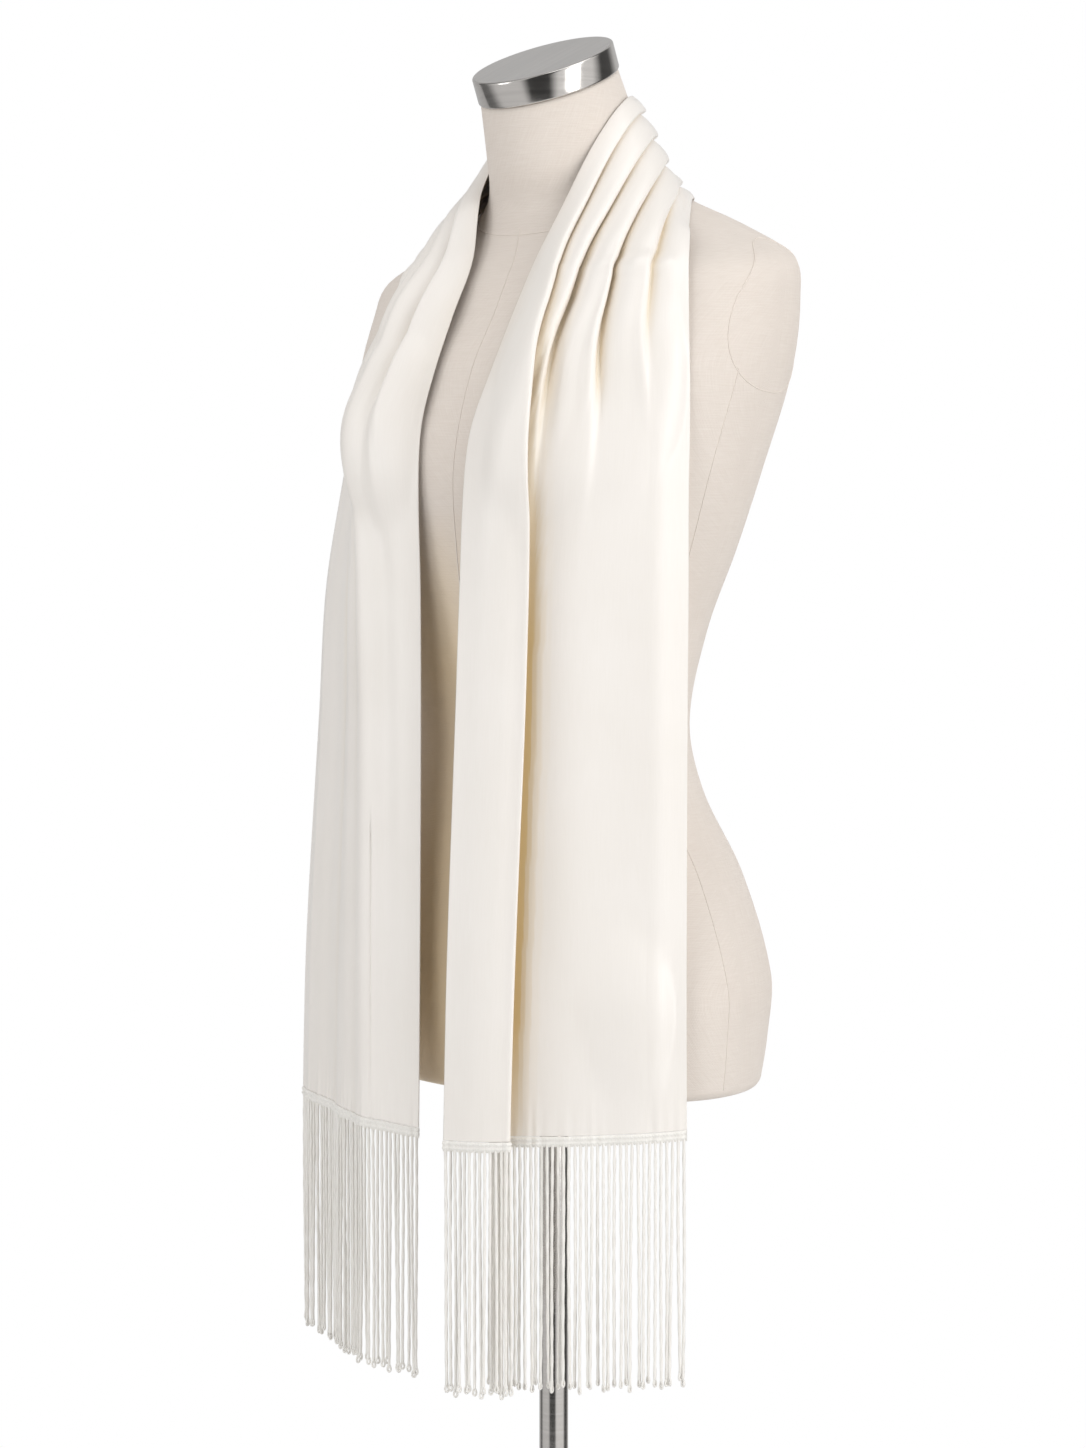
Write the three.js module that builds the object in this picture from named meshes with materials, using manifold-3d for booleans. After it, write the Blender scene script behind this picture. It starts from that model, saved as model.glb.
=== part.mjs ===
// Evening stole on a dress form.
// Millimetres, +Z up. The form faces -Y and its left side is +X.
// The origin is on the floor, under the middle of the stand.

import * as THREE from 'three';
import { mergeVertices } from 'three/addons/utils/BufferGeometryUtils.js';
import Module from 'manifold-3d';

const wasm = await Module();
wasm.setup();

// Driving sizes of the dress form
const TORSO_BOTTOM = 792;
const TORSO_COLUMNS = 36;
const TORSO_EDGE_RADIUS = 7;
const RING_STEPS = 2;
const NECK_TILT = 24;
const CAP_RADIUS = 54;
const CAP_HEIGHT = 20;
const CAP_EDGE = 1.6;
const CAP_CENTRE = { y: -6, height: 741 };
const POLE_RADIUS = 11;
const BASE_RADIUS = 190;
const BASE_RIM = 6;
const BASE_HEIGHT = 12;
const SOCKET_RADIUS = 24;
const SOCKET_HEIGHT = 32;
const ROUND_STEPS = 32;
const BASE_EDGE = 2;
const SEAT_GAP = 0.3;
const NECK_LEAN = Math.tan(THREE.MathUtils.degToRad(NECK_TILT));
const NECK_TOP = CAP_CENTRE.height - CAP_CENTRE.y * NECK_LEAN - SEAT_GAP * Math.hypot(1, NECK_LEAN);

// Driving sizes of the stole
const CLOTH_WIDTH = 240;
const CLOTH_WALL = 1;
const CLOTH_CLEARANCE = 1.6;
const EDGE_POWER = 6;
const COURSE_STEPS = 240;
const TURN_SPREAD = 1.8;
const TURN_SPOTS = [-1, -0.72, -0.46, -0.16, 0.16, 0.46, 0.72, 1];
const HANG_STEPS = 8;
const CHEST_STEPS = 17;
const NECK_STEPS = 18;
const SEAM_GAP = 0.3;

// Driving sizes of the fringe
const HEADER_HEIGHT = 7;
const HEADER_WALL = 2.4;
const STRAND_STEP = 6.4;
const STRAND_LENGTH = 181;
const STRAND_RADIUS = 1.5;
const STRAND_SIDES = 4;
const BEAD_RADIUS = 2.1;
const BEAD_LENGTH = 9;
const BEAD_WIDEST = 0.35;
const LENGTH_SPREAD = 3.5;
const SPREAD_WAVES = { quick: 2.4, slow: 1.1 };

// Sizes of the search for the torso's surface
const SEARCH_STEPS = 24;
const SEARCH_ABOVE = 60;
const PUSH_STEPS = 5;
const PROBE = 0.5;
const AHEAD = 2;

// Rings of the torso and neck, bottom to top. height is above the torso's lower edge, half is half the
// width, mid is where the ring is widest, front and back are its reach from the pole's axis, tilt is
// degrees forward and square is 2 for an ellipse.
const TORSO_RINGS = [
  { height: 0, half: 166, mid: 8, front: 100, back: 118, tilt: 0, square: 2.1 },
  { height: 38, half: 171, mid: 8, front: 105, back: 126, tilt: 0, square: 2.1 },
  { height: 83, half: 173, mid: 8, front: 107, back: 129, tilt: 0, square: 2.1 },
  { height: 158, half: 150, mid: 6, front: 103, back: 113, tilt: 0, square: 2.1 },
  { height: 218, half: 120, mid: 3, front: 97, back: 90, tilt: 0, square: 2.1 },
  { height: 270, half: 110, mid: 2, front: 95, back: 80, tilt: 0, square: 2.1 },
  { height: 338, half: 124, mid: 4, front: 103, back: 88, tilt: 0, square: 2.1 },
  { height: 398, half: 146, mid: 9, front: 112, back: 99, tilt: 0, square: 2.15 },
  { height: 458, half: 164, mid: 16, front: 115, back: 110, tilt: 0, square: 2.2 },
  { height: 528, half: 181, mid: 28, front: 96, back: 121, tilt: 1, square: 2.3 },
  { height: 578, half: 183, mid: 38, front: 68, back: 122, tilt: 4, square: 2.35 },
  { height: 603, half: 176, mid: 42, front: 56, back: 117, tilt: 8, square: 2.3 },
  { height: 622, half: 136, mid: 39, front: 47, back: 103, tilt: 13, square: 2.15 },
  { height: 640, half: 90, mid: 30, front: 42, back: 87, tilt: 18, square: 2.05 },
  { height: 658, half: 69, mid: 23, front: 40, back: 77, tilt: 22, square: 2 },
  { height: 674, half: 61, mid: 18, front: 40, back: 72, tilt: 25, square: 2 },
  { height: 698, half: 55.5, mid: 10, front: 47, back: 63, tilt: 25, square: 2 },
  { height: NECK_TOP, half: 52.5, mid: -6, front: 54, back: 42, tilt: NECK_TILT, square: 2 },
];
const BUST = { reach: 9, side: 76, height: 463, wide: 46, tall: 62 };

// Sections of the stole in order from the left hem, over the neck, to the right hem. inner is the edge by
// the throat, outer the edge by the shoulder: x, y and height above the torso's lower edge. bulge is the
// crown between them.
const STOLE_SECTIONS = [
  { inner: [13, -143, -28], outer: [163, -50, -20], bulge: 16 },
  { inner: [15, -141, 98], outer: [163, -51, 98], bulge: 17 },
  { inner: [18, -135, 270], outer: [161, -48, 270], bulge: 19 },
  { inner: [19, -131, 366], outer: [160, -46, 362], bulge: 22 },
  { inner: [21, -128, 448], outer: [160, -46, 442], bulge: 25 },
  { inner: [22, -121, 486], outer: [160, -45, 482], bulge: 25 },
  { inner: [25, -104, 524], outer: [160, -45, 520], bulge: 22 },
  { inner: [26, -78, 570], outer: [156, -41, 560], bulge: 16 },
  { inner: [31, -58, 610], outer: [146, -28, 600], bulge: 11 },
  { inner: [40, -39, 648], outer: [132, -9, 628], bulge: 7 },
  { inner: [50, -21, 685], outer: [117, 5, 637], bulge: 4 },
  { inner: [55, 0, 712], outer: [101, 23, 642], bulge: 3 },
  { inner: [51, 22, 724], outer: [82, 43, 646], bulge: 2 },
  { inner: [36, 49, 729], outer: [56, 85, 646], bulge: 2 },
  { inner: [0, 64, 729], outer: [0, 107, 636], bulge: 2 },
  { inner: [-36, 49, 724], outer: [-60, 88, 650], bulge: 2 },
  { inner: [-52, 22, 711], outer: [-88, 44, 653], bulge: 2 },
  { inner: [-55, 0, 692], outer: [-97, 17, 648], bulge: 3 },
  { inner: [-50, -23, 667], outer: [-103, -4, 638], bulge: 4 },
  { inner: [-40, -40, 648], outer: [-106, -20, 623], bulge: 6 },
  { inner: [-34, -54, 610], outer: [-115, -41, 597], bulge: 9 },
  { inner: [-32, -78, 570], outer: [-124, -58, 562], bulge: 15 },
  { inner: [-30, -103, 524], outer: [-134, -66, 522], bulge: 16 },
  { inner: [-31, -115, 488], outer: [-148, -62, 482], bulge: 18 },
  { inner: [-28, -122, 448], outer: [-160, -56, 446], bulge: 21 },
  { inner: [-27, -121, 366], outer: [-168, -62, 366], bulge: 26 },
  { inner: [-26, -122, 270], outer: [-174, -67, 270], bulge: 25 },
  { inner: [-24, -126, 98], outer: [-182, -75, 98], bulge: 22 },
  { inner: [-22, -130, -25], outer: [-186, -80, -20], bulge: 20 },
];
const LEFT_BUST = 4;
const LEFT_SEAM = 11;
const RIGHT_SEAM = 17;
const RIGHT_BUST = 24;

// The four long folds at some of those sections. section is the row above, turn is how wide a fold turns,
// spare is each fold's share of the width that the section has no room for, place is where it turns across
// the cloth.
const STOLE_FOLDS = [
  { section: 0, turn: 4.5, spare: [1, 0, 0, 0], place: [0.29, 0.47, 0.65, 0.85] },
  { section: 3, turn: 4.5, spare: [0.96, 0, 0, 0], place: [0.31, 0.48, 0.66, 0.86] },
  { section: 5, turn: 4, spare: [0.6, 0.14, 0.1, 0], place: [0.3, 0.46, 0.66, 0.86] },
  { section: 7, turn: 3.2, spare: [0.33, 0.2, 0.18, 0.07], place: [0.22, 0.4, 0.63, 0.84] },
  { section: 9, turn: 2.4, spare: [0.18, 0.15, 0.15, 0.12], place: [0.17, 0.38, 0.6, 0.82] },
  { section: 11, turn: 2.1, spare: [0.13, 0.13, 0.13, 0.13], place: [0.15, 0.37, 0.59, 0.81] },
  { section: 17, turn: 2.1, spare: [0.13, 0.13, 0.13, 0.13], place: [0.15, 0.37, 0.59, 0.81] },
  { section: 19, turn: 2.4, spare: [0.14, 0.15, 0.16, 0.12], place: [0.16, 0.38, 0.61, 0.82] },
  { section: 21, turn: 3.2, spare: [0.1, 0.25, 0.25, 0.07], place: [0.17, 0.41, 0.64, 0.85] },
  { section: 23, turn: 4.5, spare: [0.04, 0.3, 0.26, 0], place: [0.2, 0.42, 0.6, 0.84] },
  { section: 25, turn: 6, spare: [0, 0.1, 0.24, 0], place: [0.18, 0.36, 0.55, 0.84] },
  { section: 28, turn: 6.5, spare: [0, 0.06, 0.24, 0], place: [0.16, 0.34, 0.52, 0.82] },
];

// A cubic through the rows of a table, with each slope taken from the neighbouring rows
function through(rows, key, value, place) {
  const last = rows.length - 1;
  let low = 0;
  while (low < last - 1 && place > key(rows[low + 1])) {
    low += 1;
  }
  const slope = (i) => {
    const a = rows[Math.max(i - 1, 0)];
    const b = rows[Math.min(i + 1, last)];
    return (value(b) - value(a)) / (key(b) - key(a));
  };
  const span = key(rows[low + 1]) - key(rows[low]);
  const f = THREE.MathUtils.clamp((place - key(rows[low])) / span, 0, 1);
  const rise = value(rows[low + 1]) - value(rows[low]);
  const start = slope(low) * span;
  const end = slope(low + 1) * span;
  const square = 3 * rise - 2 * start - end;
  const cube = start + end - 2 * rise;
  return value(rows[low]) + f * (start + f * (square + f * cube));
}

function ringAt(height) {
  const column = (name) => through(TORSO_RINGS, (row) => row.height, (row) => row[name], height);
  return {
    height,
    half: column('half'),
    mid: column('mid'),
    front: column('front'),
    back: column('back'),
    lean: Math.tan(THREE.MathUtils.degToRad(column('tilt'))),
    square: column('square'),
  };
}

// Reach of a ring from its widest line to the back, or to the front with the two rounds of the bust
function ringReach(ring, x, toFront) {
  if (!toFront) {
    return ring.back - ring.mid;
  }
  const across = (Math.abs(x) - BUST.side) / BUST.wide;
  const up = (ring.height - BUST.height) / BUST.tall;
  return ring.front + ring.mid + BUST.reach * Math.exp(-across * across - up * up);
}

// Point on a ring of the torso, at an angle counted from +X
function torsoPoint(ring, angle) {
  const power = 2 / ring.square;
  const c = Math.cos(angle);
  const s = Math.sin(angle);
  const x = ring.half * Math.sign(c) * Math.abs(c) ** power;
  const y = ring.mid + ringReach(ring, x, s < 0) * Math.sign(s) * Math.abs(s) ** power;
  return new THREE.Vector3(x, y, TORSO_BOTTOM + ring.height + y * ring.lean);
}

// How far out a point is, as a share of the torso's reach: 1 on its surface
function torsoShare(point) {
  let low = TORSO_RINGS[0].height;
  let high = TORSO_RINGS.at(-1).height + SEARCH_ABOVE;
  const height = point.z - TORSO_BOTTOM;
  for (let step = 0; step < SEARCH_STEPS; step += 1) {
    const middle = (low + high) / 2;
    if (middle + point.y * ringAt(middle).lean < height) {
      low = middle;
    } else {
      high = middle;
    }
  }
  const ring = ringAt(low);
  const across = Math.abs(point.x) / ring.half;
  const along = Math.abs(point.y - ring.mid) / ringReach(ring, point.x, point.y < ring.mid);
  return (across ** ring.square + along ** ring.square) ** (1 / ring.square);
}

// Move a point straight off the torso until it is clear of it
function clearOfTorso(point, clearance) {
  const moved = point.clone();
  for (let step = 0; step < PUSH_STEPS; step += 1) {
    const share = torsoShare(moved);
    const slope = new THREE.Vector3(
      torsoShare(moved.clone().setX(moved.x + PROBE)) - share,
      torsoShare(moved.clone().setY(moved.y + PROBE)) - share,
      torsoShare(moved.clone().setZ(moved.z + PROBE)) - share,
    ).divideScalar(PROBE);
    const distance = (share - 1) / slope.length();
    if (distance > clearance) {
      break;
    }
    moved.addScaledVector(slope.normalize(), clearance - distance);
  }
  return moved;
}

// Stations along the stole: the length of its middle line at each section
const vector = (list) => new THREE.Vector3(...list);
const middleOf = (row) => vector(row.inner).add(vector(row.outer)).divideScalar(2);
let length = 0;
STOLE_SECTIONS.forEach((row, i) => {
  if (i > 0) {
    length += middleOf(row).distanceTo(middleOf(STOLE_SECTIONS[i - 1]));
  }
  row.station = length;
});

// The stole's section at a station: its two edges, its outward direction and its folds
function sectionAt(station) {
  const column = (pick) => through(STOLE_SECTIONS, (row) => row.station, pick, station);
  const edge = (name, at) => new THREE.Vector3(...[0, 1, 2].map(
    (axis) => through(STOLE_SECTIONS, (row) => row.station, (row) => row[name][axis], at),
  ));
  const middleAt = (at) => edge('inner', at).add(edge('outer', at)).divideScalar(2);
  const inner = edge('inner', station);
  const chord = edge('outer', station).sub(inner);
  const ahead = middleAt(Math.min(station + AHEAD, length)).sub(middleAt(Math.max(station - AHEAD, 0)));
  const out = chord.clone().cross(ahead).normalize();
  const bulge = column((row) => row.bulge);
  const arc = chord.length() * (1 + (8 / 3) * (bulge / chord.length()) ** 2);
  const room = Math.max(CLOTH_WIDTH - arc, 0);
  const foldStation = (row) => STOLE_SECTIONS[row.section].station;
  const foldColumn = (pick) => through(STOLE_FOLDS, foldStation, pick, station);
  const turn = foldColumn((row) => row.turn);
  const folds = [0, 1, 2, 3].map((i) => ({
    run: Math.max(foldColumn((row) => row.spare[i]), 0) * room / 2,
    place: foldColumn((row) => row.place[i]) * CLOTH_WIDTH,
    turn,
  }));
  return { inner, chord, out, bulge, across: placesAcross(folds), ...courseAcross(folds) };
}

// Places across the cloth's width: close together where a fold turns
function placesAcross(folds) {
  const places = [0, CLOTH_WIDTH];
  folds.forEach((fold) => {
    const half = fold.run / 2 + TURN_SPREAD * fold.turn;
    TURN_SPOTS.forEach((spot) => places.push(fold.place + spot * half));
  });
  places.sort((a, b) => a - b);
  places.splice(1, 0, places[1] / 2);
  return places;
}

// Course of the cloth across a section. At each fold it turns right round, runs back and turns again, so
// its angle rises by half a turn and falls by as much; its cosine adds up to the reach, its sine to the
// height.
function courseAcross(folds) {
  const reach = [0];
  const height = [0];
  const step = CLOTH_WIDTH / COURSE_STEPS;
  for (let k = 0; k < COURSE_STEPS; k += 1) {
    const across = (k + 0.5) * step;
    const angle = folds.reduce((sum, { place, run, turn }) => {
      const first = Math.tanh((across - place + run / 2) / turn);
      const second = Math.tanh((across - place - run / 2) / turn);
      return sum + (Math.PI / 2) * (first - second);
    }, 0);
    reach.push(reach[k] + step * Math.cos(angle));
    height.push(height[k] - step * Math.sin(angle));
  }
  const share = reach.map((value) => value / reach[COURSE_STEPS]);
  const rise = height.map((value, k) => value - height[COURSE_STEPS] * share[k]);
  return { share, rise, lowest: Math.min(...rise) };
}

function between(list, across) {
  const spot = across / CLOTH_WIDTH * COURSE_STEPS;
  const low = Math.min(Math.floor(spot), COURSE_STEPS - 1);
  return THREE.MathUtils.lerp(list[low], list[low + 1], spot - low);
}

// Point of the stole's middle surface: along its base line, clear of the torso, then out by its folds
function stolePoint(section, across) {
  const share = between(section.share, across);
  const base = section.inner.clone().addScaledVector(section.chord, share);
  base.addScaledVector(section.out, section.bulge * 4 * share * (1 - share));
  base.z += TORSO_BOTTOM;
  const lift = 1 - (1 - 2 * share) ** EDGE_POWER;
  const clear = clearOfTorso(base, CLOTH_CLEARANCE - section.lowest * lift);
  return clear.addScaledVector(section.out, between(section.rise, across));
}

const stoleLine = (section) => section.across.map((across) => stolePoint(section, across));

// Closed mesh from a grid of points and a way out at each point, half the wall to either side
function wallGeometry(points, ways, wall) {
  const rows = points.length;
  const columns = points[0].length;
  const positions = [];
  [0.5, -0.5].forEach((side) => points.forEach((line, i) => line.forEach((point, j) => {
    positions.push(...point.clone().addScaledVector(ways[i][j], side * wall).toArray());
  })));
  const at = (i, j, under) => under * rows * columns + i * columns + j;
  const index = [];
  const quad = (a, b, c, d) => index.push(a, b, c, a, c, d);
  for (let i = 0; i < rows - 1; i += 1) {
    for (let j = 0; j < columns - 1; j += 1) {
      quad(at(i, j, 0), at(i, j + 1, 0), at(i + 1, j + 1, 0), at(i + 1, j, 0));
      quad(at(i, j, 1), at(i + 1, j, 1), at(i + 1, j + 1, 1), at(i, j + 1, 1));
    }
    quad(at(i, 0, 0), at(i + 1, 0, 0), at(i + 1, 0, 1), at(i, 0, 1));
    quad(at(i, columns - 1, 0), at(i, columns - 1, 1), at(i + 1, columns - 1, 1), at(i + 1, columns - 1, 0));
  }
  for (let j = 0; j < columns - 1; j += 1) {
    quad(at(0, j, 0), at(0, j, 1), at(0, j + 1, 1), at(0, j + 1, 0));
    quad(at(rows - 1, j, 0), at(rows - 1, j + 1, 0), at(rows - 1, j + 1, 1), at(rows - 1, j, 1));
  }
  const geometry = new THREE.BufferGeometry();
  geometry.setAttribute('position', new THREE.Float32BufferAttribute(positions, 3));
  geometry.setIndex(index);
  return geometry;
}

// Way out of a surface at each grid point, square to its neighbours along and across
function waysOut(points) {
  return points.map((line, i) => line.map((point, j) => {
    const ahead = points[Math.min(i + 1, points.length - 1)][j].clone().sub(points[Math.max(i - 1, 0)][j]);
    const aside = line[Math.min(j + 1, line.length - 1)].clone().sub(line[Math.max(j - 1, 0)]);
    return aside.cross(ahead).normalize();
  }));
}

// Stretch of the stole through stations given as runs: from, to and how many steps
function stretch(runs) {
  const stations = runs.flatMap(({ from, to, steps }) => Array.from(
    { length: steps },
    (_, i) => THREE.MathUtils.lerp(from, to, i / steps),
  ));
  stations.push(runs.at(-1).to);
  const points = stations.map((station) => stoleLine(sectionAt(station)));
  return wallGeometry(points, waysOut(points), CLOTH_WALL);
}

// Solid of a closed geometry, for joining
function solidOf(geometry) {
  const bare = geometry.clone();
  bare.deleteAttribute('normal');
  bare.deleteAttribute('uv');
  const merged = mergeVertices(bare);
  const mesh = new wasm.Mesh({
    numProp: 3,
    vertProperties: Float32Array.from(merged.getAttribute('position').array),
    triVerts: Uint32Array.from(merged.getIndex().array),
  });
  return new wasm.Manifold(mesh);
}

function geometryOf(solid) {
  const mesh = solid.getMesh();
  const geometry = new THREE.BufferGeometry();
  geometry.setAttribute('position', new THREE.Float32BufferAttribute(mesh.vertProperties, 3));
  geometry.setIndex(Array.from(mesh.triVerts));
  return geometry;
}

// One cord of the fringe: a four-sided length with a bead at its lower end
function strand(root, strandLength) {
  const profile = [
    [0, 0],
    [BEAD_RADIUS, BEAD_LENGTH * BEAD_WIDEST],
    [STRAND_RADIUS, BEAD_LENGTH],
    [STRAND_RADIUS, strandLength],
    [0, strandLength],
  ].map(([radius, up]) => new THREE.Vector2(radius, up));
  const geometry = new THREE.LatheGeometry(profile, STRAND_SIDES);
  geometry.rotateX(Math.PI / 2);
  geometry.translate(root.x, root.y, root.z - strandLength);
  return geometry;
}

// Header tape along a hem, with the cords fused into it at even steps
function fringe(station, side) {
  const hem = stoleLine(sectionAt(station));
  const tape = [SEAM_GAP, SEAM_GAP + HEADER_HEIGHT].map(
    (drop) => hem.map((point) => point.clone().setZ(point.z - drop)),
  );
  if (side > 0) {
    tape.reverse();
  }
  let solid = solidOf(wallGeometry(tape, waysOut(tape), HEADER_WALL));
  const route = new THREE.CurvePath();
  hem.slice(1).forEach((point, i) => route.add(new THREE.LineCurve3(hem[i], point)));
  const count = Math.round(route.getLength() / STRAND_STEP);
  for (let k = 0; k < count; k += 1) {
    const root = route.getPointAt((k + 0.5) / count);
    root.z -= SEAM_GAP + HEADER_HEIGHT / 2;
    const uneven = LENGTH_SPREAD * Math.sin(SPREAD_WAVES.quick * k) * Math.cos(SPREAD_WAVES.slow * k + side);
    solid = solid.add(solidOf(strand(root, STRAND_LENGTH + uneven)));
  }
  return geometryOf(solid);
}

// Torso and neck: rings from a rounded lower edge to the flat top of the neck
function torsoGeometry() {
  const heights = TORSO_RINGS.slice(1).flatMap((row, i) => Array.from(
    { length: RING_STEPS },
    (_, k) => THREE.MathUtils.lerp(TORSO_RINGS[i].height, row.height, (k + 1) / RING_STEPS),
  ));
  heights.unshift(TORSO_EDGE_RADIUS);
  const rings = heights.map((height) => ringAt(height));
  const lower = ringAt(0);
  rings.unshift({
    ...lower,
    half: lower.half - TORSO_EDGE_RADIUS,
    front: lower.front - TORSO_EDGE_RADIUS,
    back: lower.back - TORSO_EDGE_RADIUS,
  });
  const positions = [0, 0, TORSO_BOTTOM];
  rings.forEach((ring) => {
    for (let j = 0; j < TORSO_COLUMNS; j += 1) {
      positions.push(...torsoPoint(ring, 2 * Math.PI * j / TORSO_COLUMNS).toArray());
    }
  });
  const top = rings.at(-1);
  const middle = (top.back - top.front) / 2;
  positions.push(0, middle, TORSO_BOTTOM + top.height + middle * top.lean);
  const at = (i, j) => 1 + i * TORSO_COLUMNS + (j % TORSO_COLUMNS);
  const last = 1 + rings.length * TORSO_COLUMNS;
  const index = [];
  for (let j = 0; j < TORSO_COLUMNS; j += 1) {
    index.push(0, at(0, j + 1), at(0, j));
    index.push(last, at(rings.length - 1, j), at(rings.length - 1, j + 1));
    for (let i = 0; i < rings.length - 1; i += 1) {
      index.push(at(i, j), at(i, j + 1), at(i + 1, j + 1), at(i, j), at(i + 1, j + 1), at(i + 1, j));
    }
  }
  const geometry = new THREE.BufferGeometry();
  geometry.setAttribute('position', new THREE.Float32BufferAttribute(positions, 3));
  geometry.setIndex(index);
  return geometry;
}

function turned(profile) {
  const geometry = new THREE.LatheGeometry(profile.map(([r, z]) => new THREE.Vector2(r, z)), ROUND_STEPS);
  return geometry.rotateX(Math.PI / 2);
}

const capGeometry = () => turned([
  [0, 0],
  [CAP_RADIUS - CAP_EDGE, 0],
  [CAP_RADIUS, CAP_EDGE],
  [CAP_RADIUS, CAP_HEIGHT - CAP_EDGE],
  [CAP_RADIUS - CAP_EDGE, CAP_HEIGHT],
  [0, CAP_HEIGHT],
]);

const poleFoot = BASE_HEIGHT + SEAT_GAP;
const poleTop = TORSO_BOTTOM - SEAT_GAP;
const poleGeometry = () => turned([
  [0, poleFoot],
  [POLE_RADIUS, poleFoot],
  [POLE_RADIUS, poleTop],
  [0, poleTop],
]);

const socketGeometry = () => turned([
  [POLE_RADIUS + SEAT_GAP, poleFoot],
  [SOCKET_RADIUS, poleFoot],
  [SOCKET_RADIUS, poleFoot + SOCKET_HEIGHT - BASE_EDGE],
  [SOCKET_RADIUS - BASE_EDGE, poleFoot + SOCKET_HEIGHT],
  [POLE_RADIUS + SEAT_GAP, poleFoot + SOCKET_HEIGHT],
  [POLE_RADIUS + SEAT_GAP, poleFoot],
]);

const baseGeometry = () => turned([
  [0, 0],
  [BASE_RADIUS - BASE_EDGE, 0],
  [BASE_RADIUS, BASE_EDGE],
  [BASE_RADIUS, BASE_RIM - BASE_EDGE],
  [BASE_RADIUS - BASE_EDGE, BASE_RIM],
  [SOCKET_RADIUS + BASE_EDGE, BASE_HEIGHT],
  [0, BASE_HEIGHT],
]);

// Materials
const satin = () => new THREE.MeshStandardMaterial({ color: 0xf0ede6, roughness: 0.38, metalness: 0 });
const cord = () => new THREE.MeshStandardMaterial({ color: 0xe6e2da, roughness: 0.6, metalness: 0 });
const linen = () => new THREE.MeshStandardMaterial({ color: 0xe6dacd, roughness: 0.9, metalness: 0 });
const steel = () => new THREE.MeshStandardMaterial({ color: 0xb4b0ad, roughness: 0.25, metalness: 1 });

function piece(name, geometry, material) {
  const mesh = new THREE.Mesh(geometry, material);
  mesh.name = name;
  return mesh;
}

const object = new THREE.Group();
const form = new THREE.Group();
const stole = new THREE.Group();
object.add(form, stole);

form.add(piece('form_torso', torsoGeometry(), linen()));
const cap = piece('form_neck_cap', capGeometry(), steel());
cap.position.set(0, CAP_CENTRE.y, TORSO_BOTTOM + CAP_CENTRE.height);
cap.rotation.x = THREE.MathUtils.degToRad(NECK_TILT);
form.add(cap);
form.add(piece('form_pole', poleGeometry(), steel()));
form.add(piece('form_socket', socketGeometry(), steel()));
form.add(piece('form_base', baseGeometry(), steel()));

const stationOf = (row) => STOLE_SECTIONS[row].station;
const halfSeam = SEAM_GAP / 2;
const leftFront = [
  { from: 0, to: stationOf(LEFT_BUST), steps: HANG_STEPS },
  { from: stationOf(LEFT_BUST), to: stationOf(LEFT_SEAM) - halfSeam, steps: CHEST_STEPS },
];
const neckBack = [
  { from: stationOf(LEFT_SEAM) + halfSeam, to: stationOf(RIGHT_SEAM) - halfSeam, steps: NECK_STEPS },
];
const rightFront = [
  { from: stationOf(RIGHT_SEAM) + halfSeam, to: stationOf(RIGHT_BUST), steps: CHEST_STEPS },
  { from: stationOf(RIGHT_BUST), to: length, steps: HANG_STEPS },
];
stole.add(piece('stole_front_left', stretch(leftFront), satin()));
stole.add(piece('stole_neck_back', stretch(neckBack), satin()));
stole.add(piece('stole_front_right', stretch(rightFront), satin()));
stole.add(piece('fringe_left', fringe(0, 1), cord()));
stole.add(piece('fringe_right', fringe(length, -1), cord()));

export default object;
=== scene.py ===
"""Evening stole on a dress form: its surfaces and finishes, in metres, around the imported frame."""

import math

import bpy
import numpy as np
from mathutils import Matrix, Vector
from mathutils.kdtree import KDTree


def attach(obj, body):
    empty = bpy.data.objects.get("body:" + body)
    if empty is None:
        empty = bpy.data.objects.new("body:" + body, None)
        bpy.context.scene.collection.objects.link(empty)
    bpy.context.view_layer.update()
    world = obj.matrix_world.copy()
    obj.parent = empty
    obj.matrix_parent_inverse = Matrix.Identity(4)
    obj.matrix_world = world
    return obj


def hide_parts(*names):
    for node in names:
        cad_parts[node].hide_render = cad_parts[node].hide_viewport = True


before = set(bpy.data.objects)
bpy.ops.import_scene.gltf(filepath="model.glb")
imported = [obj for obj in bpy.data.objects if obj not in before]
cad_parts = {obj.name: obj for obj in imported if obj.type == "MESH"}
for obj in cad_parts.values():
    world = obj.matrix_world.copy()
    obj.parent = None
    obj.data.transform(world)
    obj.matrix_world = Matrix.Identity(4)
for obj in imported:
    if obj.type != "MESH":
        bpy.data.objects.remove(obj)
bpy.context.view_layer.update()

# Tables below are in millimetres, and MM turns them into metres
MM = 0.001

# Dress form
TORSO_BOTTOM = 792
TORSO_EDGE_RADIUS = 7
NECK_TILT = math.radians(24)
CAP_RADIUS = 54
CAP_HEIGHT = 20
CAP_EDGE = 1.6
CAP_CENTRE_Y = -6
CAP_CENTRE_HEIGHT = 741
POLE_RADIUS = 11
BASE_RADIUS = 190
BASE_RIM = 6
BASE_HEIGHT = 12
BASE_EDGE = 2
SOCKET_RADIUS = 24
SOCKET_HEIGHT = 32
SEAT_GAP = 0.3
NECK_TOP = CAP_CENTRE_HEIGHT - CAP_CENTRE_Y * math.tan(NECK_TILT) - SEAT_GAP / math.cos(NECK_TILT)

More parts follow.
